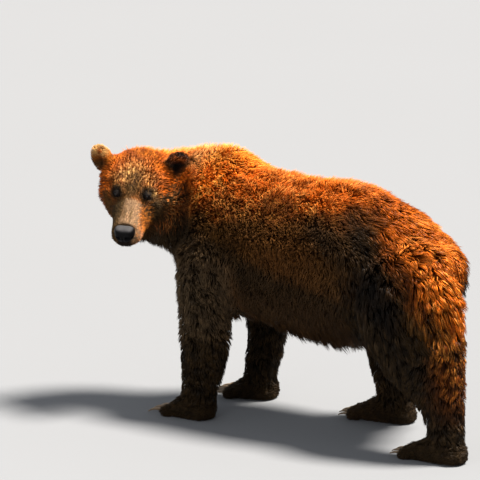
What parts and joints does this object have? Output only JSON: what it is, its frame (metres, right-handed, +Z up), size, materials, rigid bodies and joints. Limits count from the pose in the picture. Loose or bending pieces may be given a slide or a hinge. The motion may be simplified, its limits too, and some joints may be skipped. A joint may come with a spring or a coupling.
{
  "type": "grizzly bear",
  "caption": "Life-size adult grizzly bear standing on all four feet, head turned to look back over its left shoulder, in a shaggy brown coat.",
  "frame": {"origin": "middle of the bear's box in plan, on the floor", "axes": "+Z up, -Y towards the head end, +Y towards the rump, +X to the bear's left"},
  "size_m": [0.8186, 1.9974, 1.2227],
  "materials": {
    "coat": "shaggy orange-brown fur",
    "dark_coat": "short dark brown fur",
    "muzzle_coat": "short tan fur",
    "nose_skin": "moist black skin",
    "eye": "glossy dark brown",
    "claw": "satin horn"
  },
  "bodies": {
    "root": {"head": "coat", "left_ear": "coat", "left_eye": "eye", "left_fore_claw_1": "claw", "left_fore_claw_2": "claw", "left_fore_claw_3": "claw", "left_fore_claw_4": "claw", "left_fore_claw_5": "claw", "left_fore_lower_leg": "dark_coat", "left_fore_paw": "dark_coat", "left_fore_upper_leg": "coat", "left_hind_claw_1": "claw", "left_hind_claw_2": "claw", "left_hind_claw_3": "claw", "left_hind_claw_4": "claw", "left_hind_claw_5": "claw", "left_hind_lower_leg": "dark_coat", "left_hind_paw": "dark_coat", "left_hind_upper_leg": "coat", "lower_jaw": "muzzle_coat", "neck": "coat", "nose": "nose_skin", "right_ear": "coat", "right_eye": "eye", "right_fore_claw_1": "claw", "right_fore_claw_2": "claw", "right_fore_claw_3": "claw", "right_fore_claw_4": "claw", "right_fore_claw_5": "claw", "right_fore_lower_leg": "dark_coat", "right_fore_paw": "dark_coat", "right_fore_upper_leg": "coat", "right_hind_claw_1": "claw", "right_hind_claw_2": "claw", "right_hind_claw_3": "claw", "right_hind_claw_4": "claw", "right_hind_claw_5": "claw", "right_hind_lower_leg": "dark_coat", "right_hind_paw": "dark_coat", "right_hind_upper_leg": "coat", "tail": "coat", "trunk": "coat"}
  },
  "joints": []
}
